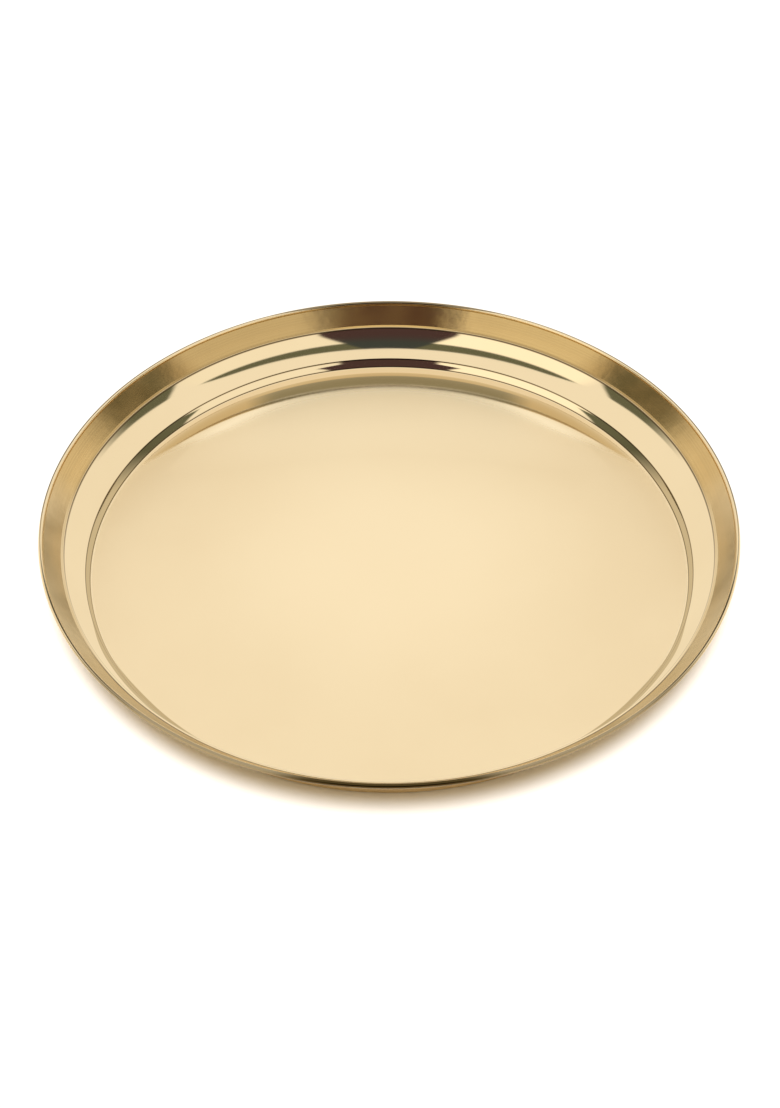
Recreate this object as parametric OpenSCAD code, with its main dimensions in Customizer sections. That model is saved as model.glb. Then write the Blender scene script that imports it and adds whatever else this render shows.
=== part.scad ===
// Thali plate: a round brass dish spun from one sheet, with a flat floor,
// a small step round it, a polished cove, a ridge line, a flared rim band
// and a lip that is rolled outwards over a stiffening wire.
// The origin is the centre of the base's underside, with +Z up.

/* [Rim] */
// Outer diameter across the rolled lip
rim_d = 300; // [270:1:340]
// Height of the middle of the rolled lip above the floor's top face
rim_h = 26.6; // [24:0.1:31]
// Height of the upright neck that carries the roll
neck_h = 0.75; // [0.6:0.05:1.2]

/* [Ridge line] */
// Diameter of the ridge line, where the cove ends and the rim band starts
ridge_d = 280.8; // [278.5:0.1:283]
// Height of the ridge line above the floor's top face
ridge_h = 18.1; // [16:0.1:20]
// Width of the narrow ledge outside the ridge line
ledge_w = 1.2; // [0.8:0.1:2]
// Rise of that ledge across its width
ledge_rise = 0.45; // [0.2:0.05:0.9]

/* [Cove] */
// Width of the cove's lower slope, from the step's shoulder to its corner
cove_w = 4.9; // [3.5:0.1:6.5]
// Rise of the cove's lower slope across its width
cove_rise = 6.3; // [4.5:0.1:8]
// Inner radius of the cove
cove_r = 38; // [10:1:60]

/* [Floor and step] */
// Diameter of the flat floor, at the foot of the step
floor_d = 262.8; // [256:0.1:265]
// Width of the step between the floor and the cove
step_w = 1.6; // [1:0.1:2.6]
// Height of the step above the floor's top face
step_h = 4.2; // [3:0.1:5.2]

/* [Sheet and wire] */
// Thickness of the brass sheet
sheet_t = 0.5; // [0.4:0.05:0.8]
// Diameter of the wire inside the rolled lip
wire_d = 0.8; // [0.6:0.05:1.2]
// Gap between the wire and the sheet that is rolled over it
wire_gap = 0.02; // [0.01:0.01:0.05]
// How far round the wire the sheet is rolled, in degrees
roll_sweep = 290; // [240:5:295]

/* [Bends] */
// Inner bend radius at the foot of the step
foot_r = 0.7; // [0.4:0.1:1.2]
// Inner bend radius at the step's shoulder
shoulder_r = 0.5; // [0.3:0.1:1]
// Inner bend radius at the ridge line
ridge_r = 0.3; // [0.2:0.05:0.6]
// Inner bend radius where the ledge turns up into the rim band
band_r = 1; // [0.5:0.1:2]
// Inner bend radius where the rim band turns up into the neck
neck_r = 0.4; // [0.2:0.05:0.6]

/* [Hidden] */
$fn = 180;

// Degrees of bend between two points of the sheet's section
bend_step = 5;

// The roll's radius outside the sheet, and the middle of its section
roll_r = wire_d / 2 + wire_gap + sheet_t;
roll_x = rim_d / 2 - roll_r;

// Corners of the dish's upper face, from the axis out to the roll,
// as [distance from the axis, height above the floor's top face]
foot = [floor_d / 2, 0];
shoulder = foot + [step_w, step_h];
cove_corner = shoulder + [cove_w, cove_rise];
ridge = [ridge_d / 2, ridge_h];
ledge_end = ridge + [ledge_w, ledge_rise];
neck_foot = [roll_x - roll_r, rim_h - neck_h];
neck_top = [roll_x - roll_r, rim_h];
corners = [[0, 0], foot, shoulder, cove_corner, ridge, ledge_end, neck_foot, neck_top];

// Inner bend radius at each corner between the axis and the neck's top
corner_r = [foot_r, shoulder_r, cove_r, ridge_r, band_r, neck_r];

// Share of each leg between two corners that the bend at its start may use
leg_shares = [0, 0.5, 0.1, 0.85, 0.5, 0.3, 1];

// Heading of the leg that starts at corner i
function heading(i) =
    atan2(corners[i + 1][1] - corners[i][1], corners[i + 1][0] - corners[i][0]);

// Length of the leg that starts at corner i
function leg(i) = norm(corners[i + 1] - corners[i]);

// Distance from corner i at which its bend may start at most
function reach(i) = min(leg(i - 1) * (1 - leg_shares[i - 1]), leg(i) * leg_shares[i]);

// A bend is [centre x, centre z, first angle, last angle, upper radius, lower radius]
function bend(i) =
    let (
        before = heading(i - 1),
        turn = heading(i) - before,
        side = sign(turn),
        wanted = corner_r[i - 1] + (side < 0 ? sheet_t : 0),
        upper = min(wanted, reach(i) / tan(abs(turn) / 2)),
        start = corners[i] - upper * tan(abs(turn) / 2) * [cos(before), sin(before)],
        centre = start + side * upper * [-sin(before), cos(before)],
        first = before - side * 90
    )
    [centre[0], centre[1], first, first + turn, upper, upper + side * sheet_t];

// The roll starts at the neck's top and goes outwards, over and under the wire
roll = [roll_x, rim_h, 180, 180 - roll_sweep, roll_r, roll_r - sheet_t];
bends = [for (i = [1:len(corner_r)]) bend(i), roll];

// Points of one bend, on the circle of the given radius
function arc(b, r) =
    let (count = ceil(abs(b[3] - b[2]) / bend_step))
    [for (k = [0:count])
        let (a = b[2] + (b[3] - b[2]) * k / count)
        [b[0] + r * cos(a), b[1] + r * sin(a)]];

// The two faces of the sheet, from the axis to its cut edge under the roll
upper_face = [[0, 0], for (b = bends) each arc(b, b[4])];
lower_face = [[0, -sheet_t], for (b = bends) each arc(b, b[5])];
section = concat(upper_face, [for (i = [len(lower_face) - 1:-1:0]) lower_face[i]]);

// The dish, spun from one sheet of brass with its lip rolled over
module dish() {
    color("#d9bd7a")
        translate([0, 0, sheet_t])
            rotate_extrude()
                polygon(section);
}

// The ring of round wire that the lip is rolled over
module rim_wire() {
    color("#b8964f")
        translate([0, 0, sheet_t])
            rotate_extrude()
                translate([roll_x, rim_h])
                    circle(d = wire_d);
}

dish();
rim_wire();
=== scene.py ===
import math

import bmesh
import bpy
from mathutils import Matrix, Vector


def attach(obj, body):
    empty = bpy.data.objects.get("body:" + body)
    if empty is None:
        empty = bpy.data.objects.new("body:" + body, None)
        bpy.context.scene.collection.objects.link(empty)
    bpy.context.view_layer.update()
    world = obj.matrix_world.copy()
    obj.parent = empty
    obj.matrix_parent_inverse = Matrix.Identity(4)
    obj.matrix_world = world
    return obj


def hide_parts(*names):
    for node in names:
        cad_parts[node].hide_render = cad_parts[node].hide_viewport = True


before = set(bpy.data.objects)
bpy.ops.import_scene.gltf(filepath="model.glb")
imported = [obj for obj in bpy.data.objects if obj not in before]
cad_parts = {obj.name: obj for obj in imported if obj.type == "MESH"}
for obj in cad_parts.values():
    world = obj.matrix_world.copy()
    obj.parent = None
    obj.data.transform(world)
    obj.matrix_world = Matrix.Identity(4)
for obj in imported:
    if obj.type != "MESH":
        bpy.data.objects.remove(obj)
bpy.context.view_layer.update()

MM = 0.001

# The camera, at the photograph's viewing angle: it looks down at 45 degrees
# from 700 mm, through a lens whose focal length is given in pixels of the photograph.
PHOTO_HEIGHT = 1108
FOCAL_PIXELS = 1666
SENSOR = 36
DISTANCE = 700 * MM
LOOK_DOWN = math.radians(44.77)
ROLL = math.radians(-0.13)
AIM = Vector((0.3 * MM, -27.6 * MM, 27.1 * MM))
forward = Vector((0, math.cos(LOOK_DOWN), -math.sin(LOOK_DOWN)))
level_right = Vector((1, 0, 0))
level_up = level_right.cross(forward)
camera_right = math.cos(ROLL) * level_right + math.sin(ROLL) * level_up
camera_up = math.cos(ROLL) * level_up - math.sin(ROLL) * level_right
camera_data = bpy.data.cameras.new("camera")
camera_data.sensor_width = SENSOR
camera_data.lens = FOCAL_PIXELS / PHOTO_HEIGHT * SENSOR
camera_data.clip_start = 10 * MM
camera = bpy.data.objects.new("camera", camera_data)
camera.matrix_world = Matrix((camera_right, camera_up, -forward)).transposed().to_4x4()
camera.location = AIM - DISTANCE * forward
bpy.context.scene.collection.objects.link(camera)
bpy.context.scene.camera = camera

# The dish: one round sheet of brass, spun over a chuck into a flat floor, a small step,
# a cove, a ridge line and a rim band, with its lip rolled out over a wire. The walls, the
# lip and a ring of floor at the back are polished, and the band and other floor are satin.
SHEET = 0.5 * MM
RIM_RADIUS = 150 * MM
LIP_HEIGHT = 26.6 * MM
NECK_HEIGHT = 0.75 * MM
ROLL_RADIUS = 0.92 * MM
ROLL_SWEEP = math.radians(290)
FLOOR_RADIUS = 131.4 * MM
STEP_WIDTH = 1.6 * MM
STEP_HEIGHT = 4.2 * MM
COVE_WIDTH = 4.9 * MM
COVE_RISE = 6.3 * MM
RIDGE_RADIUS = 140.4 * MM
RIDGE_HEIGHT = 18.1 * MM
LEDGE_WIDTH = 1.2 * MM
LEDGE_RISE = 0.45 * MM
ROUND_STEPS = 360
BEND_STEP = math.radians(3)
FEWEST_BEND_STEPS = 12
ROLL_STEP = math.radians(10)
MERGE_WITHIN = 0.001 * MM

# Corners of the sheet's upper face, from the foot of the step to the lip's neck
roll_middle = Vector((RIM_RADIUS - ROLL_RADIUS, 0, SHEET + LIP_HEIGHT))
foot = Vector((FLOOR_RADIUS, 0, SHEET))
shoulder = foot + Vector((STEP_WIDTH, 0, STEP_HEIGHT))
cove_corner = shoulder + Vector((COVE_WIDTH, 0, COVE_RISE))
ridge = Vector((RIDGE_RADIUS, 0, SHEET + RIDGE_HEIGHT))
ledge_end = ridge + Vector((LEDGE_WIDTH, 0, LEDGE_RISE))
neck_top = roll_middle - Vector((ROLL_RADIUS, 0, 0))
neck_foot = neck_top - Vector((0, 0, NECK_HEIGHT))
corners = [Vector((0, 0, SHEET)), foot, shoulder, cove_corner, ridge, ledge_end, neck_foot, neck_top]

# Inner bend radius at each corner, and the longest reach of its bend along the legs
bends = [
    (0.7 * MM, 1),
    (0.5 * MM, 0.4 * MM),
    (38 * MM, 6.8 * MM),
    (0.3 * MM, 0.6 * MM),
    (1.0 * MM, 0.6 * MM),
    (0.4 * MM, 0.35 * MM),
]


def draw_to(tip, place):
    """Draws the profile straight on from its tip."""
    made = bmesh.ops.extrude_vert_indiv(profile, verts=[tip])["verts"][0]
    made.co = place
    return made


def bend_round(tip, middle, turn, step):
    """Draws the profile on round the middle of a bend, anticlockwise where turn is positive."""
    count = math.ceil(abs(turn) / step)
    made = bmesh.ops.spin(profile, geom=[tip], cent=middle, axis=(0, -1, 0), angle=turn, steps=count)
    return made["geom_last"][0]


profile = bmesh.new()
tip = profile.verts.new(corners[0])
for before, corner, after, (inner_radius, longest) in zip(corners, corners[1:], corners[2:], bends):
    into = (corner - before).normalized()
    out = (after - corner).normalized()
    turn = math.atan2(out.z, out.x) - math.atan2(into.z, into.x)
    radius = inner_radius + (SHEET if turn < 0 else 0)
    reach = min(radius * math.tan(abs(turn) / 2), longest)
    radius = reach / math.tan(abs(turn) / 2)
    start = corner - reach * into
    middle = start + math.copysign(radius, turn) * Vector((-into.z, 0, into.x))
    tip = draw_to(tip, start)
    tip = bend_round(tip, middle, turn, min(BEND_STEP, abs(turn) / FEWEST_BEND_STEPS))
tip = draw_to(tip, neck_top)
bend_round(tip, roll_middle, -ROLL_SWEEP, ROLL_STEP)
bmesh.ops.spin(profile, geom=profile.verts[:] + profile.edges[:], cent=(0, 0, 0), axis=(0, 0, 1),
               angle=math.tau, steps=ROUND_STEPS, use_merge=True)
bmesh.ops.remove_doubles(profile, verts=profile.verts[:], dist=MERGE_WITHIN)
bmesh.ops.recalc_face_normals(profile, faces=profile.faces[:])
dish_mesh = bpy.data.meshes.new("dish_spun")
profile.to_mesh(dish_mesh)
profile.free()
dish_mesh.shade_smooth()
dish = bpy.data.objects.new("dish_spun", dish_mesh)
bpy.context.scene.collection.objects.link(dish)
wall = dish.modifiers.new("sheet_thickness", "SOLIDIFY")
wall.thickness = SHEET
wall.offset = -1
wall.use_even_offset = True
shading = dish.modifiers.new("flat_faces_stay_flat", "WEIGHTED_NORMAL")
shading.keep_sharp = True


def new_material(name):
    """An empty material with its Principled shader."""
    material = bpy.data.materials.new(name)
    material.use_nodes = True
    return material, material.node_tree, material.node_tree.nodes["Principled BSDF"]


def node(tree, kind, **settings):
    """A node with its settings."""
    made = tree.nodes.new(kind)
    for name, value in settings.items():
        setattr(made, name, value)
    return made


def calculate(tree, operation, first, second=0.0):
    """A Math node, fed by sockets or plain numbers."""
    made = node(tree, "ShaderNodeMath", operation=operation)
    for socket, value in zip(made.inputs, (first, second)):
        if isinstance(value, (int, float)):
            socket.default_value = value
        else:
            tree.links.new(value, socket)
    return made.outputs[0]


def multiply(tree, first, *others):
    """The product of masks and shares, each a socket or a plain number."""
    for other in others:
        first = calculate(tree, "MULTIPLY", first, other)
    return first


def between(tree, value, start, end, low=0.0, high=1.0):
    """A soft step from low to high as value goes from start to end."""
    made = node(tree, "ShaderNodeMapRange", interpolation_type="SMOOTHSTEP")
    tree.links.new(value, made.inputs["Value"])
    made.inputs["From Min"].default_value = start
    made.inputs["From Max"].default_value = end
    made.inputs["To Min"].default_value = low
    made.inputs["To Max"].default_value = high
    return made.outputs["Result"]


def line_at(tree, value, middle, half_wide, full_wide, strength):
    """A soft line where value is about middle: full_wide wide at its strongest."""
    away = calculate(tree, "ABSOLUTE", calculate(tree, "SUBTRACT", value, middle))
    return between(tree, away, half_wide, full_wide, 0.0, strength)


def mix_colours(tree, share, first, second):
    """Mixes two colours, each a socket or plain numbers, by a share."""
    made = node(tree, "ShaderNodeMix", data_type="RGBA")
    sockets = [made.inputs[0], made.inputs[6], made.inputs[7]]
    for socket, value in zip(sockets, (share, first, second)):
        if isinstance(value, (int, float, tuple)):
            socket.default_value = value
        else:
            tree.links.new(value, socket)
    return made.outputs[2]


def follow(tree, value, stops):
    """A value that goes softly through (place, value) stops, from rim to rim."""
    share = node(tree, "ShaderNodeMapRange")
    tree.links.new(value, share.inputs["Value"])
    share.inputs["From Min"].default_value = -RIM_RADIUS
    share.inputs["From Max"].default_value = RIM_RADIUS
    made = node(tree, "ShaderNodeValToRGB")
    tree.links.new(share.outputs["Result"], made.inputs["Fac"])
    made.color_ramp.interpolation = "EASE"
    points = made.color_ramp.elements
    points.remove(points[1])
    points[0].position = (stops[0][0] + RIM_RADIUS) / (2 * RIM_RADIUS)
    points[0].color = (stops[0][1], stops[0][1], stops[0][1], 1)
    for place, grey in stops[1:]:
        points.new((place + RIM_RADIUS) / (2 * RIM_RADIUS)).color = (grey, grey, grey, 1)
    return made.outputs["Color"]


# Marks that polishing on a lathe leaves: fine rings round the plate's axis and a broad
# uneven haze where the polishing wheel pressed less. It also gives the radius of a place.
marks = bpy.data.node_groups.new("lathe_marks", "ShaderNodeTree")
marks.interface.new_socket("Place", in_out="INPUT", socket_type="NodeSocketVector")
marks.interface.new_socket("Rings per metre", in_out="INPUT", socket_type="NodeSocketFloat")
marks.interface.new_socket("Haze per metre", in_out="INPUT", socket_type="NodeSocketFloat")
marks.interface.new_socket("Rings", in_out="OUTPUT", socket_type="NodeSocketFloat")
marks.interface.new_socket("Haze", in_out="OUTPUT", socket_type="NodeSocketFloat")
marks.interface.new_socket("Radius", in_out="OUTPUT", socket_type="NodeSocketFloat")
given = node(marks, "NodeGroupInput")
result = node(marks, "NodeGroupOutput")
axes = node(marks, "ShaderNodeSeparateXYZ")
marks.links.new(given.outputs["Place"], axes.inputs[0])
across = calculate(marks, "POWER", axes.outputs["X"], 2.0)
along = calculate(marks, "POWER", axes.outputs["Y"], 2.0)
from_axis = calculate(marks, "SQRT", calculate(marks, "ADD", across, along))
ring_place = node(marks, "ShaderNodeCombineXYZ")
marks.links.new(from_axis, ring_place.inputs["X"])
marks.links.new(axes.outputs["Z"], ring_place.inputs["Z"])
ring_noise = node(marks, "ShaderNodeTexNoise")
marks.links.new(ring_place.outputs[0], ring_noise.inputs["Vector"])
marks.links.new(given.outputs["Rings per metre"], ring_noise.inputs["Scale"])
ring_noise.inputs["Detail"].default_value = 3
haze_noise = node(marks, "ShaderNodeTexNoise")
marks.links.new(given.outputs["Place"], haze_noise.inputs["Vector"])
marks.links.new(given.outputs["Haze per metre"], haze_noise.inputs["Scale"])
haze_noise.inputs["Detail"].default_value = 4
marks.links.new(ring_noise.outputs["Fac"], result.inputs["Rings"])
marks.links.new(haze_noise.outputs["Fac"], result.inputs["Haze"])
marks.links.new(from_axis, result.inputs["Radius"])

# A shading normal that leans up from the surface's own, so that a polished wall mirrors
# more of the sky and less of the wall across from it
lifted = bpy.data.node_groups.new("lifted_normal", "ShaderNodeTree")
lifted.interface.new_socket("Lean", in_out="INPUT", socket_type="NodeSocketFloat")
lifted.interface.new_socket("Normal", in_out="OUTPUT", socket_type="NodeSocketVector")
given = node(lifted, "NodeGroupInput")
result = node(lifted, "NodeGroupOutput")
facing = node(lifted, "ShaderNodeNewGeometry")
lift = node(lifted, "ShaderNodeCombineXYZ")
lifted.links.new(given.outputs["Lean"], lift.inputs["Z"])
leaned = node(lifted, "ShaderNodeVectorMath", operation="ADD")
lifted.links.new(facing.outputs["Normal"], leaned.inputs[0])
lifted.links.new(lift.outputs[0], leaned.inputs[1])
straight = node(lifted, "ShaderNodeVectorMath", operation="NORMALIZE")
lifted.links.new(leaned.outputs[0], straight.inputs[0])
lifted.links.new(straight.outputs[0], result.inputs["Normal"])

# The brass of the floor, the walls and the lip, with a faint haze of a duller shade
POLISHED = (0.905, 0.72, 0.44, 1)
POLISHED_LESS = (0.88, 0.695, 0.42, 1)
brass, tree, surface = new_material("brass_sheet")
surface.inputs["Metallic"].default_value = 1.0
place = node(tree, "ShaderNodeTexCoord")
where = node(tree, "ShaderNodeSeparateXYZ")
tree.links.new(place.outputs["Object"], where.inputs[0])
along_y = where.outputs["Y"]
lathe = node(tree, "ShaderNodeGroup", node_tree=marks)
tree.links.new(place.outputs["Object"], lathe.inputs["Place"])
lathe.inputs["Rings per metre"].default_value = 900
lathe.inputs["Haze per metre"].default_value = 14
radius_here = lathe.outputs["Radius"]
near_side = between(tree, along_y, 50 * MM, -80 * MM)
colour = mix_colours(tree, between(tree, lathe.outputs["Haze"], 0.35, 0.65), POLISHED, POLISHED_LESS)

# The viewer sees a place first hand, and sees what another surface mirrors of it second hand
path = node(tree, "ShaderNodeLightPath")
second_hand = path.outputs["Is Glossy Ray"]
first_hand = calculate(tree, "SUBTRACT", 1.0, second_hand)

# How far the face leans outward from the axis, and on which side of the sheet it is:
# the upper side faces up or inward, and the underside faces down or outward
FACE_BLEND = 0.2
flat_place = node(tree, "ShaderNodeVectorMath", operation="MULTIPLY")
tree.links.new(place.outputs["Object"], flat_place.inputs[0])
flat_place.inputs[1].default_value = (1, 1, 0)
outward = node(tree, "ShaderNodeVectorMath", operation="NORMALIZE")
tree.links.new(flat_place.outputs[0], outward.inputs[0])
facing = node(tree, "ShaderNodeNewGeometry")
lean = node(tree, "ShaderNodeVectorMath", operation="DOT_PRODUCT")
tree.links.new(outward.outputs[0], lean.inputs[0])
tree.links.new(facing.outputs["True Normal"], lean.inputs[1])
rise = node(tree, "ShaderNodeSeparateXYZ")
tree.links.new(facing.outputs["True Normal"], rise.inputs[0])
side = calculate(tree, "SUBTRACT", rise.outputs["Z"], lean.outputs["Value"])
upper = between(tree, side, 0.0, FACE_BLEND)
under = between(tree, side, 0.0, -FACE_BLEND)

# The floor is satin up to a polished ring at the back, which narrows to nothing towards
# the sides. Its colour is painted lighter where it is satin, inside the ring at the back and
# most of all in the middle: a painted reflection of the bright sky that the satin blurs away,
# and a painted highlight in the middle.
FLOOR_PAINTED_LIGHT = (1.0, 0.82, 0.53, 1)
SATIN_ROUGHNESS = 0.40
SATIN_PAINTED_LIGHT = 0.45
MIDDLE_PAINTED_LIGHT = 0.55
SATIN_RADIUS = 108 * MM
POLISHED_FROM = 119 * MM
RING_FADE = 3 * MM
SATIN_REACH = 24 * MM
FOOT_FADE = 0.8 * MM
satin_reach = between(tree, along_y, 90 * MM, 40 * MM, 0.0, SATIN_REACH)
satin_place = calculate(tree, "SUBTRACT", radius_here, satin_reach)
satin_zone = multiply(tree, between(tree, satin_place, POLISHED_FROM, SATIN_RADIUS),
                      between(tree, radius_here, FLOOR_RADIUS, FLOOR_RADIUS - FOOT_FADE))
floor_painted_light = calculate(tree, "ADD", multiply(tree, satin_zone, SATIN_PAINTED_LIGHT),
                        between(tree, radius_here, 105 * MM, 25 * MM, 0.0, MIDDLE_PAINTED_LIGHT))
back_painted_light = multiply(tree, between(tree, radius_here, POLISHED_FROM + RING_FADE, POLISHED_FROM - RING_FADE),
                      between(tree, along_y, 20 * MM, 90 * MM))
floor_painted_light = calculate(tree, "MAXIMUM", floor_painted_light, back_painted_light)
colour = mix_colours(tree, floor_painted_light, colour, FLOOR_PAINTED_LIGHT)

# The step is painted a darker brown, a painted dark reflection, but not at the back or
# at the very front. On the near side the painted strip is wider than the step: it goes from the
# floor's edge to the foot of the cove.
STEP_PAINTED_SHADE = (0.60, 0.45, 0.235, 1)
SHADE_INTO_FLOOR = 1.7 * MM
SHADE_INTO_COVE = 2.1 * MM
SHADE_EDGE = 0.1 * MM
SHADE_BLUR = 0.2 * MM
shade_from = between(tree, along_y, -55 * MM, -85 * MM, FLOOR_RADIUS, FLOOR_RADIUS - SHADE_INTO_FLOOR)
shade_until = between(tree, along_y, -40 * MM, -70 * MM, shoulder.x + SHADE_EDGE, shoulder.x + SHADE_INTO_COVE)
past_start = calculate(tree, "SUBTRACT", radius_here, shade_from)
past_end = calculate(tree, "SUBTRACT", radius_here, shade_until)
step_shade = multiply(tree, between(tree, past_start, -SHADE_BLUR, SHADE_BLUR),
                between(tree, past_end, SHADE_BLUR, -SHADE_BLUR),
                between(tree, along_y, 90 * MM, 40 * MM),
                between(tree, along_y, -114 * MM, -98 * MM))
colour = mix_colours(tree, step_shade, colour, STEP_PAINTED_SHADE)

# Painted shade in reflections: where another surface mirrors the walls, they are painted
# darker, above all near the ridge line at the back and front, which paints the floor's tan and
# olive crescent. In those reflections the step is painted light.
MIRRORED_PAINTED_SHADE = (0.16, 0.17, 0.13, 1)
STEP_MIRRORED_PAINTED_LIGHT = (0.93, 0.86, 0.76, 1)
WALL_MIRROR_SHADE = 0.35
TOP_MIRROR_SHADE = 0.84
TOP_FADE_SIDEWAYS = (85 * MM, 55 * MM)
wall_shade_share = between(tree, radius_here, shoulder.x, shoulder.x + 1.5 * MM, 0.0, WALL_MIRROR_SHADE)
top_shade_share = between(tree, radius_here, cove_corner.x - 1.8 * MM, cove_corner.x - 0.8 * MM, 0.0, TOP_MIRROR_SHADE)
sideways = calculate(tree, "ABSOLUTE", where.outputs["X"])
top_shade_share = multiply(tree, top_shade_share, between(tree, sideways, *TOP_FADE_SIDEWAYS))
mirror_shade = multiply(tree, second_hand, calculate(tree, "MAXIMUM", wall_shade_share, top_shade_share))
colour = mix_colours(tree, mirror_shade, colour, MIRRORED_PAINTED_SHADE)
step_mirror_light = multiply(tree, second_hand,
                      between(tree, radius_here, FLOOR_RADIUS, FLOOR_RADIUS + 0.2 * MM),
                      between(tree, radius_here, shoulder.x + 1.0 * MM, shoulder.x))
colour = mix_colours(tree, step_mirror_light, colour, STEP_MIRRORED_PAINTED_LIGHT)

# Thin dark lines in the sharp bends, painted shade in the creases. They are fainter on the
# near side, the one at the ridge line most of all.
CREASE_SHADE = (0.11, 0.06, 0.014, 1)
CREASE_SHADE_SHARE = 0.9
CREASE_CORE = 0.4
CREASE_BENDS = [(RIDGE_RADIUS, 0.3 * MM), (shoulder.x, 0.2 * MM), (FLOOR_RADIUS + 0.1 * MM, 0.2 * MM)]
crease_shade = 0.0
for middle, half_wide in CREASE_BENDS:
    line = line_at(tree, radius_here, middle, half_wide, CREASE_CORE * half_wide, CREASE_SHADE_SHARE)
    crease_shade = calculate(tree, "MAXIMUM", crease_shade, line)
fainter = multiply(tree, near_side, between(tree, radius_here, cove_corner.x, shoulder.x, 0.75, 0.6))
crease_shade = multiply(tree, crease_shade, upper, first_hand, calculate(tree, "SUBTRACT", 1.0, fainter))
colour = mix_colours(tree, crease_shade, colour, CREASE_SHADE)

# The underside is a little darker and rougher than the face
UNDERSIDE = (0.82, 0.63, 0.35, 1)
UNDER_ROUGHNESS = 0.2
colour = mix_colours(tree, under, colour, UNDERSIDE)

# The lip's dark line, a painted dark reflection of the dark room round the camera: at the
# back it covers the bead's top and outer flank, on the near half its inner side and top, and in
# front all of it. Places round the bead are told by how far the face leans outward, from -1 on
# the inside to 1 on the outside.
LIP_PAINTED_DARK = (0.085, 0.054, 0.016, 1)
LIP_INSIDE = roll_middle.x - 1.2 * ROLL_RADIUS
LIP_EDGE = roll_middle.x - 0.9 * ROLL_RADIUS
LINE_START_BLUR = 0.15
LINE_END_BLUR = 0.2
LINE_STARTS_EARLIER = [(136 * MM, 146 * MM, 0.8), (10 * MM, -60 * MM, 0.95), (-142 * MM, -147 * MM, 2.0)]
LIP_TOP = [
    (-147 * MM, 1.0), (-142 * MM, 0.62), (-118 * MM, 0.62), (-95 * MM, 0.95), (-60 * MM, 1.0),
    (-20 * MM, 0.55), (20 * MM, 0.92), (60 * MM, 0.92), (130 * MM, 0.75)]
LIP_FLANK = [(-147 * MM, 1.0), (-142 * MM, 0.62), (-110 * MM, 0.62), (-70 * MM, 0.0)]
line_start = between(tree, along_y, 130 * MM, -130 * MM, -0.3, 0.5)
for start, end, earlier in LINE_STARTS_EARLIER:
    line_start = calculate(tree, "SUBTRACT", line_start, between(tree, along_y, start, end, 0.0, earlier))
line_end = between(tree, along_y, 20 * MM, -30 * MM, 1.3, 0.1)
past_start = calculate(tree, "SUBTRACT", lean.outputs["Value"], line_start)
past_end = calculate(tree, "SUBTRACT", lean.outputs["Value"], line_end)
lip_dark_reflection = mix_colours(tree, between(tree, past_end, 0.0, LINE_END_BLUR),
                       follow(tree, along_y, LIP_TOP), follow(tree, along_y, LIP_FLANK))
lip_dark_reflection = multiply(tree, lip_dark_reflection, between(tree, past_start, 0.0, LINE_START_BLUR),
                    between(tree, radius_here, LIP_INSIDE, LIP_EDGE), first_hand)
colour = mix_colours(tree, lip_dark_reflection, colour, LIP_PAINTED_DARK)
tree.links.new(colour, surface.inputs["Base Color"])

# A mirror polish, less sharp where the wheel pressed less
POLISH_ROUGHNESS = 0.045
HAZE_ROUGHNESS = 0.03
roughness = calculate(tree, "ADD", between(tree, lathe.outputs["Haze"], 0.35, 0.7, 0.0, HAZE_ROUGHNESS),
                      POLISH_ROUGHNESS)
roughness = calculate(tree, "ADD", roughness, multiply(tree, under, UNDER_ROUGHNESS))
roughness = calculate(tree, "ADD", roughness, multiply(tree, satin_zone, SATIN_ROUGHNESS))
tree.links.new(roughness, surface.inputs["Roughness"])

# Polished walls mirror the sky over the far rim, so their shading normals lean up. What
# other surfaces mirror of them keeps its own normals.
FOOT_LEAN = 0.46
STEP_LEAN = 0.25
COVE_LEAN = 0.45
NEAR_LEAN = 0.9
step_lean = between(tree, radius_here, FLOOR_RADIUS + 0.2 * MM, shoulder.x, FOOT_LEAN, STEP_LEAN)
in_cove = between(tree, radius_here, shoulder.x + 0.1 * MM, shoulder.x + 0.3 * MM)
cove_lean = multiply(tree, in_cove, calculate(tree, "SUBTRACT", COVE_LEAN, step_lean))
lean_up = calculate(tree, "ADD", step_lean, cove_lean)
lean_up = calculate(tree, "ADD", lean_up, multiply(tree, near_side, NEAR_LEAN))
inside_ridge = between(tree, radius_here, RIDGE_RADIUS + 0.3 * MM, RIDGE_RADIUS + 0.1 * MM)
wall_normal = node(tree, "ShaderNodeGroup", node_tree=lifted)
tree.links.new(multiply(tree, lean_up, inside_ridge, upper, first_hand), wall_normal.inputs["Lean"])
relief = node(tree, "ShaderNodeBump")
relief.inputs["Strength"].default_value = 0.05
relief.inputs["Distance"].default_value = 0.02 * MM
tree.links.new(lathe.outputs["Rings"], relief.inputs["Height"])
tree.links.new(wall_normal.outputs["Normal"], relief.inputs["Normal"])
tree.links.new(relief.outputs["Normal"], surface.inputs["Normal"])
dish_mesh.materials.append(brass)

# The rim band keeps the fine rings that the lathe left, so it blurs reflections across
# them only. Its brown varies from ring to ring. The brown itself, darker than the brass of
# the sheet, is painted shade for the warm second reflections it picks up. Its duller outer
# half, and the duller, browner and lighter parts on the way from the back to the front, with a
# warmer one in the middle of the back, are painted reflections of the studio's dark and lit parts.
BAND_DEEP = (0.67, 0.44, 0.17, 1)
BAND_LIGHT = (0.76, 0.52, 0.22, 1)
BAND_PAINTED_SHADE = (0.40, 0.27, 0.11, 1)
BAND_PAINTED_WARM_LIGHT = (1.0, 0.63, 0.21, 1)
BAND_PAINTED_BROWN = (0.30, 0.165, 0.045, 1)
BAND_MIDDLE = 144.8 * MM
MIDDLE_FADE = 0.6 * MM
LEDGE_FADE = 0.3 * MM
LEDGE_CREASE = ledge_end.x + 0.1 * MM
BACK_PAINTED_SHADE = 0.42
LEDGE_PAINTED_SHADE = 0.5
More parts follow.
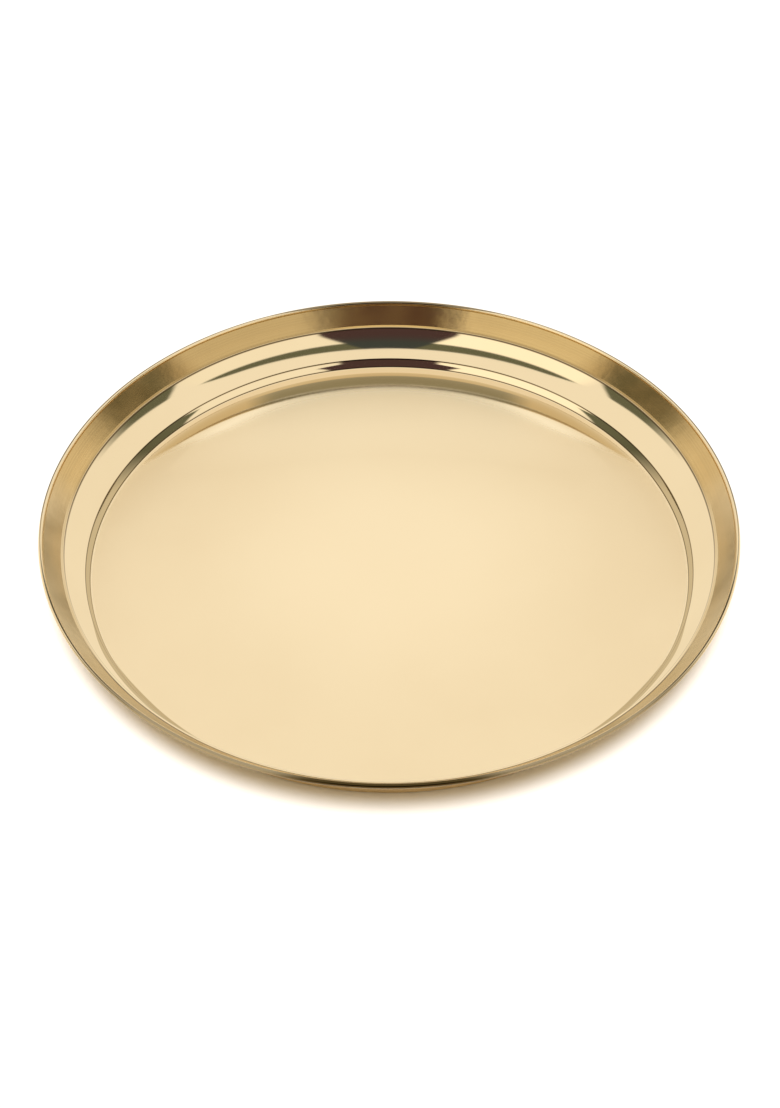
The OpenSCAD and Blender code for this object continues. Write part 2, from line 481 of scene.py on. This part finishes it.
BROWNER_REFLECTION = [
    (55 * MM, 0.0), (74 * MM, 0.5), (85 * MM, 0.5), (93 * MM, 0.2), (101 * MM, 0.5), (112 * MM, 0.0)]
LIGHTER_REFLECTION = [
    (-140 * MM, 0.35), (-115 * MM, 0.35), (-95 * MM, 0.2), (-63 * MM, 0.45), (-26 * MM, 0.6),
    (0.0, 0.45), (30 * MM, 0.0)]
satin, tree, surface = new_material("brass_band")
surface.inputs["Metallic"].default_value = 1.0
place = node(tree, "ShaderNodeTexCoord")
where = node(tree, "ShaderNodeSeparateXYZ")
tree.links.new(place.outputs["Object"], where.inputs[0])
along_y = where.outputs["Y"]
sideways = calculate(tree, "ABSOLUTE", where.outputs["X"])
lathe = node(tree, "ShaderNodeGroup", node_tree=marks)
tree.links.new(place.outputs["Object"], lathe.inputs["Place"])
lathe.inputs["Rings per metre"].default_value = 2500
lathe.inputs["Haze per metre"].default_value = 45
radius_here = lathe.outputs["Radius"]
path = node(tree, "ShaderNodeLightPath")
second_hand = path.outputs["Is Glossy Ray"]
first_hand = calculate(tree, "SUBTRACT", 1.0, second_hand)
colour = mix_colours(tree, between(tree, lathe.outputs["Rings"], 0.3, 0.7), BAND_DEEP, BAND_LIGHT)
outer_half_shade = between(tree, radius_here, BAND_MIDDLE - MIDDLE_FADE, BAND_MIDDLE + MIDDLE_FADE, 0.05, 0.17)
colour = mix_colours(tree, outer_half_shade, colour, BAND_PAINTED_SHADE)
colour = mix_colours(tree, between(tree, along_y, 78 * MM, 96 * MM, 0.0, BACK_PAINTED_SHADE), colour, BAND_PAINTED_SHADE)
colour = mix_colours(tree, follow(tree, along_y, BROWNER_REFLECTION), colour, BAND_PAINTED_BROWN)
back_middle_warm_light = multiply(tree, between(tree, sideways, 34 * MM, 14 * MM),
                       between(tree, along_y, 120 * MM, 135 * MM, 0.0, 0.9))
colour = mix_colours(tree, back_middle_warm_light, colour, BAND_PAINTED_WARM_LIGHT)

# The ledge inside the band is painted duller than the band, as painted shade, but painted
# bright on the near side as a painted highlight, where a thin line of painted shade marks the bend at its
# end
on_ledge = between(tree, radius_here, ledge_end.x + LEDGE_FADE, ledge_end.x - LEDGE_FADE)
colour = mix_colours(tree, multiply(tree, on_ledge, LEDGE_PAINTED_SHADE), colour, BAND_PAINTED_SHADE)
near_ledge_highlight = multiply(tree, on_ledge, between(tree, along_y, -50 * MM, -90 * MM))
colour = mix_colours(tree, near_ledge_highlight, colour, POLISHED)
# Painted highlight: the band is painted lighter on the near half, towards the polished brass
colour = mix_colours(tree, follow(tree, along_y, LIGHTER_REFLECTION), colour, POLISHED)
ledge_crease_shade = multiply(tree, line_at(tree, radius_here, LEDGE_CREASE, 0.5 * MM, 0.2 * MM, 0.75),
                        between(tree, along_y, -60 * MM, -95 * MM))
colour = mix_colours(tree, ledge_crease_shade, colour, CREASE_SHADE)
# Painted shade in reflections: where another surface mirrors the band, it is painted darker, most of all
# towards the back and front
darkest_mirror_shade = between(tree, sideways, *TOP_FADE_SIDEWAYS, WALL_MIRROR_SHADE, TOP_MIRROR_SHADE)
mirror_shade = multiply(tree, second_hand, darkest_mirror_shade)
tree.links.new(mix_colours(tree, mirror_shade, colour, MIRRORED_PAINTED_SHADE), surface.inputs["Base Color"])

# Brushed round the rim: the highlight is drawn out across the rings, and the haze waves it
BRUSHED = 0.8
QUARTER_TURN = 0.25
BAND_LEAN = -0.1
BAND_NEAR_LEAN = 0.7
tree.links.new(between(tree, lathe.outputs["Haze"], 0.35, 0.7, 0.17, 0.23), surface.inputs["Roughness"])
round_way = node(tree, "ShaderNodeTangent", direction_type="RADIAL", axis="Z")
tree.links.new(round_way.outputs[0], surface.inputs["Tangent"])
surface.inputs["Anisotropic"].default_value = BRUSHED
surface.inputs["Anisotropic Rotation"].default_value = QUARTER_TURN
near_side = between(tree, along_y, -10 * MM, -110 * MM)
band_lean = calculate(tree, "ADD", multiply(tree, near_side, BAND_NEAR_LEAN), BAND_LEAN)
band_normal = node(tree, "ShaderNodeGroup", node_tree=lifted)
tree.links.new(multiply(tree, band_lean, first_hand), band_normal.inputs["Lean"])
waves = node(tree, "ShaderNodeBump")
waves.inputs["Strength"].default_value = 1.0
waves.inputs["Distance"].default_value = 0.25 * MM
tree.links.new(lathe.outputs["Haze"], waves.inputs["Height"])
tree.links.new(band_normal.outputs["Normal"], waves.inputs["Normal"])
tree.links.new(waves.outputs["Normal"], surface.inputs["Normal"])
dish_mesh.materials.append(satin)
BAND_START = RIDGE_RADIUS + 0.3 * MM
BAND_FACES = 1
for face in dish_mesh.polygons:
    reach = math.hypot(face.center.x, face.center.y)
    if BAND_START < reach < neck_foot.x and face.center.z < roll_middle.z:
        face.material_index = BAND_FACES
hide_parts("dish")
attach(dish, "root")

# The rim wire: round drawn brass wire, bent into a ring and closed in by the rolled
# lip. It shows only from below, through the gap that the roll leaves.
WIRE = (0.72, 0.50, 0.22, 1)
WIRE_DARK = (0.45, 0.30, 0.14, 1)
wire_material, tree, surface = new_material("brass_wire")
surface.inputs["Metallic"].default_value = 1.0
place = node(tree, "ShaderNodeTexCoord")
drawn = node(tree, "ShaderNodeGroup", node_tree=marks)
tree.links.new(place.outputs["Object"], drawn.inputs["Place"])
drawn.inputs["Rings per metre"].default_value = 6000
drawn.inputs["Haze per metre"].default_value = 60
tarnish = between(tree, drawn.outputs["Haze"], 0.4, 0.7, 0.0, 0.5)
tree.links.new(mix_colours(tree, tarnish, WIRE, WIRE_DARK), surface.inputs["Base Color"])
tree.links.new(between(tree, drawn.outputs["Haze"], 0.3, 0.7, 0.25, 0.4), surface.inputs["Roughness"])
relief = node(tree, "ShaderNodeBump")
relief.inputs["Strength"].default_value = 0.3
relief.inputs["Distance"].default_value = 0.01 * MM
tree.links.new(drawn.outputs["Rings"], relief.inputs["Height"])
tree.links.new(relief.outputs["Normal"], surface.inputs["Normal"])
rim_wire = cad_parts["rim_wire"]
rim_wire.data.materials.clear()
rim_wire.data.materials.append(wire_material)

# The table that the plate stands on: a plain white sheet, far wider than the view.
# Its light is diffuse, so it keeps the plate's shadow, and it is lifted to white.
TABLE_SIZE = 3.0
TABLE_LIFT = 0.02
PAPER = (0.86, 0.86, 0.86, 1)
WHITE = (1, 1, 1, 1)
sheet = bmesh.new()
bmesh.ops.create_grid(sheet, size=TABLE_SIZE)
table_mesh = bpy.data.meshes.new("table")
sheet.to_mesh(table_mesh)
sheet.free()
table = bpy.data.objects.new("table", table_mesh)
bpy.context.scene.collection.objects.link(table)
paper, tree, surface = new_material("white_paper")
surface.inputs["Base Color"].default_value = PAPER
surface.inputs["Roughness"].default_value = 1.0
surface.inputs["Specular IOR Level"].default_value = 0.0
path = node(tree, "ShaderNodeLightPath")
mirrors = calculate(tree, "MAXIMUM", path.outputs["Is Glossy Ray"], path.outputs["Is Transmission Ray"])
seen = calculate(tree, "MAXIMUM", path.outputs["Is Camera Ray"], mirrors)
surface.inputs["Emission Color"].default_value = WHITE
tree.links.new(multiply(tree, seen, TABLE_LIFT), surface.inputs["Emission Strength"])
table_mesh.materials.append(paper)

# The studio: a white tent round the plate, open to the dark room where the camera stands,
# with a lit panel on each side of it. A bright canopy, a wide cone about a way that leans
# back, closes the tent at the top. Only reflections show it: other light is a plain fill.
TENT = (0.99, 0.99, 0.99, 1)
TENT_FOOT = (0.66, 0.68, 0.68, 1)
FILL = (0.33, 0.24, 0.115, 1)
SOFT = 0.012
LEAST_AHEAD = 0.0001
world = bpy.data.worlds.new("studio")
bpy.context.scene.world = world
world.use_nodes = True
world.cycles.sampling_method = "NONE"
tree = world.node_tree
light = tree.nodes["Background"]
direction = node(tree, "ShaderNodeTexCoord")
ways = node(tree, "ShaderNodeSeparateXYZ")
tree.links.new(direction.outputs["Generated"], ways.inputs[0])


def along_axis(lean):
    """How far a direction points along an axis that leans back from upright."""
    made = node(tree, "ShaderNodeVectorMath", operation="DOT_PRODUCT")
    tree.links.new(direction.outputs["Generated"], made.inputs[0])
    made.inputs[1].default_value = (0, math.sin(lean), math.cos(lean))
    return made.outputs["Value"]


# Places on a wall towards the camera, one metre off: how far to either side, and how high
ahead = calculate(tree, "MAXIMUM", multiply(tree, ways.outputs["Y"], -1.0), LEAST_AHEAD)
sideways = calculate(tree, "DIVIDE", calculate(tree, "ABSOLUTE", ways.outputs["X"]), ahead)
upwards = calculate(tree, "DIVIDE", ways.outputs["Z"], ahead)

# The canopy reaches a little lower far out to the sides
CANOPY_LEAN = math.radians(30.9)
CANOPY_EDGE = 0.50
CANOPY_DROP = 0.06
towards_canopy = calculate(tree, "ADD", along_axis(CANOPY_LEAN),
                           between(tree, sideways, 2.0, 5.0, 0.0, CANOPY_DROP))
under_canopy = between(tree, towards_canopy, CANOPY_EDGE + SOFT, CANOPY_EDGE - SOFT)

# The lit panels, brighter on the left, give way to the tent far out to the sides
PANEL_LEFT = (1.22, 1.22, 1.18, 1)
PANEL_RIGHT = (1.02, 1.02, 1.0, 1)
from_left = between(tree, ways.outputs["X"], -0.05, 0.05)
panel = mix_colours(tree, from_left, PANEL_LEFT, PANEL_RIGHT)
lit = mix_colours(tree, between(tree, sideways, 3.0, 5.0), panel, TENT)

# Dim gaps between the panels and the canopy, and past the panels' far ends. They fade
# out behind the plate.
GAP = (0.14, 0.155, 0.115, 1)
PANEL_LEAN = math.radians(20.3)
PANEL_EDGE = 0.545
TOP_GAP_SPAN = (5.0, 3.2)
END_SLANT = 1.27
PANEL_END = (0.80, 0.73)
SIDE_EDGE = 0.20
over_panel = multiply(tree, between(tree, along_axis(PANEL_LEAN), PANEL_EDGE - SOFT, PANEL_EDGE + SOFT),
                      between(tree, sideways, *TOP_GAP_SPAN))
panel_end = calculate(tree, "ADD", multiply(tree, ways.outputs["Z"], END_SLANT),
                      multiply(tree, ways.outputs["Y"], -1.0))
side_gap = multiply(tree, between(tree, panel_end, *PANEL_END),
                    between(tree, towards_canopy, SIDE_EDGE - 2 * SOFT, SIDE_EDGE + 2 * SOFT))
across = calculate(tree, "MAXIMUM", calculate(tree, "ABSOLUTE", ways.outputs["X"]), LEAST_AHEAD)
behind = calculate(tree, "DIVIDE", ways.outputs["Y"], across)
gap = multiply(tree, calculate(tree, "MAXIMUM", over_panel, side_gap),
               between(tree, behind, 0.1, 0.5, 1.0, 0.0))
opening = mix_colours(tree, gap, lit, GAP)

# The room's outline: wide at the foot, narrow at the waist, then wide and narrowing upward
ROOM_LOW = (0.075, 0.046, 0.055, 1)
ROOM_HIGH = (0.055, 0.070, 0.080, 1)
ROOM_SOFT = 0.03
FOOT_WIDTH = 1.2
FOOT_NARROWING = 2.5
WAIST_WIDTH = 0.33
WAIST_OFFSET = -0.752
WAIST_WIDENING = 1.6
TOP_WIDTH = 0.781
TOP_NARROWING = 0.32
top_width = calculate(tree, "SUBTRACT", TOP_WIDTH, multiply(tree, upwards, TOP_NARROWING))
waist_width = calculate(tree, "ADD", WAIST_OFFSET, multiply(tree, upwards, WAIST_WIDENING))
waist_width = calculate(tree, "MAXIMUM", waist_width, WAIST_WIDTH)
foot_width = calculate(tree, "SUBTRACT", FOOT_WIDTH, multiply(tree, upwards, FOOT_NARROWING))
half_width = calculate(tree, "MAXIMUM", calculate(tree, "MINIMUM", top_width, waist_width), foot_width)
beside_room = calculate(tree, "SUBTRACT", sideways, half_width)
in_room = multiply(tree, between(tree, beside_room, ROOM_SOFT, -ROOM_SOFT),
                   between(tree, ways.outputs["Y"], 0.0, -0.05))
room = mix_colours(tree, between(tree, upwards, 0.95, 1.45), ROOM_LOW, ROOM_HIGH)
opening = mix_colours(tree, in_room, opening, room)

# The tent's foot is dimmer. Seen straight, the world is plain white, for the background.
canopy = mix_colours(tree, between(tree, ways.outputs["Z"], 0.05, 0.16), TENT_FOOT, TENT)
tent = mix_colours(tree, under_canopy, canopy, opening)
path = node(tree, "ShaderNodeLightPath")
seen = mix_colours(tree, path.outputs["Is Diffuse Ray"], tent, FILL)
tree.links.new(mix_colours(tree, path.outputs["Is Camera Ray"], seen, WHITE), light.inputs["Color"])
light.inputs["Strength"].default_value = 1.0

# The lamp: a broad soft light high in front, which brings the table to white and
# casts the narrow shadow under the front of the rim. Reflections don't show it.
LAMP_HEIGHT = math.radians(67)
LAMP_SPREAD = math.radians(20)
LAMP_STRENGTH = 3.75
lamp_data = bpy.data.lights.new("soft_lamp", "SUN")
lamp_data.energy = LAMP_STRENGTH
lamp_data.angle = LAMP_SPREAD
lamp = bpy.data.objects.new("soft_lamp", lamp_data)
lamp.rotation_euler = (math.radians(90) - LAMP_HEIGHT, 0, 0)
lamp.visible_glossy = False
bpy.context.scene.collection.objects.link(lamp)

bpy.context.scene.view_settings.view_transform = "Standard"
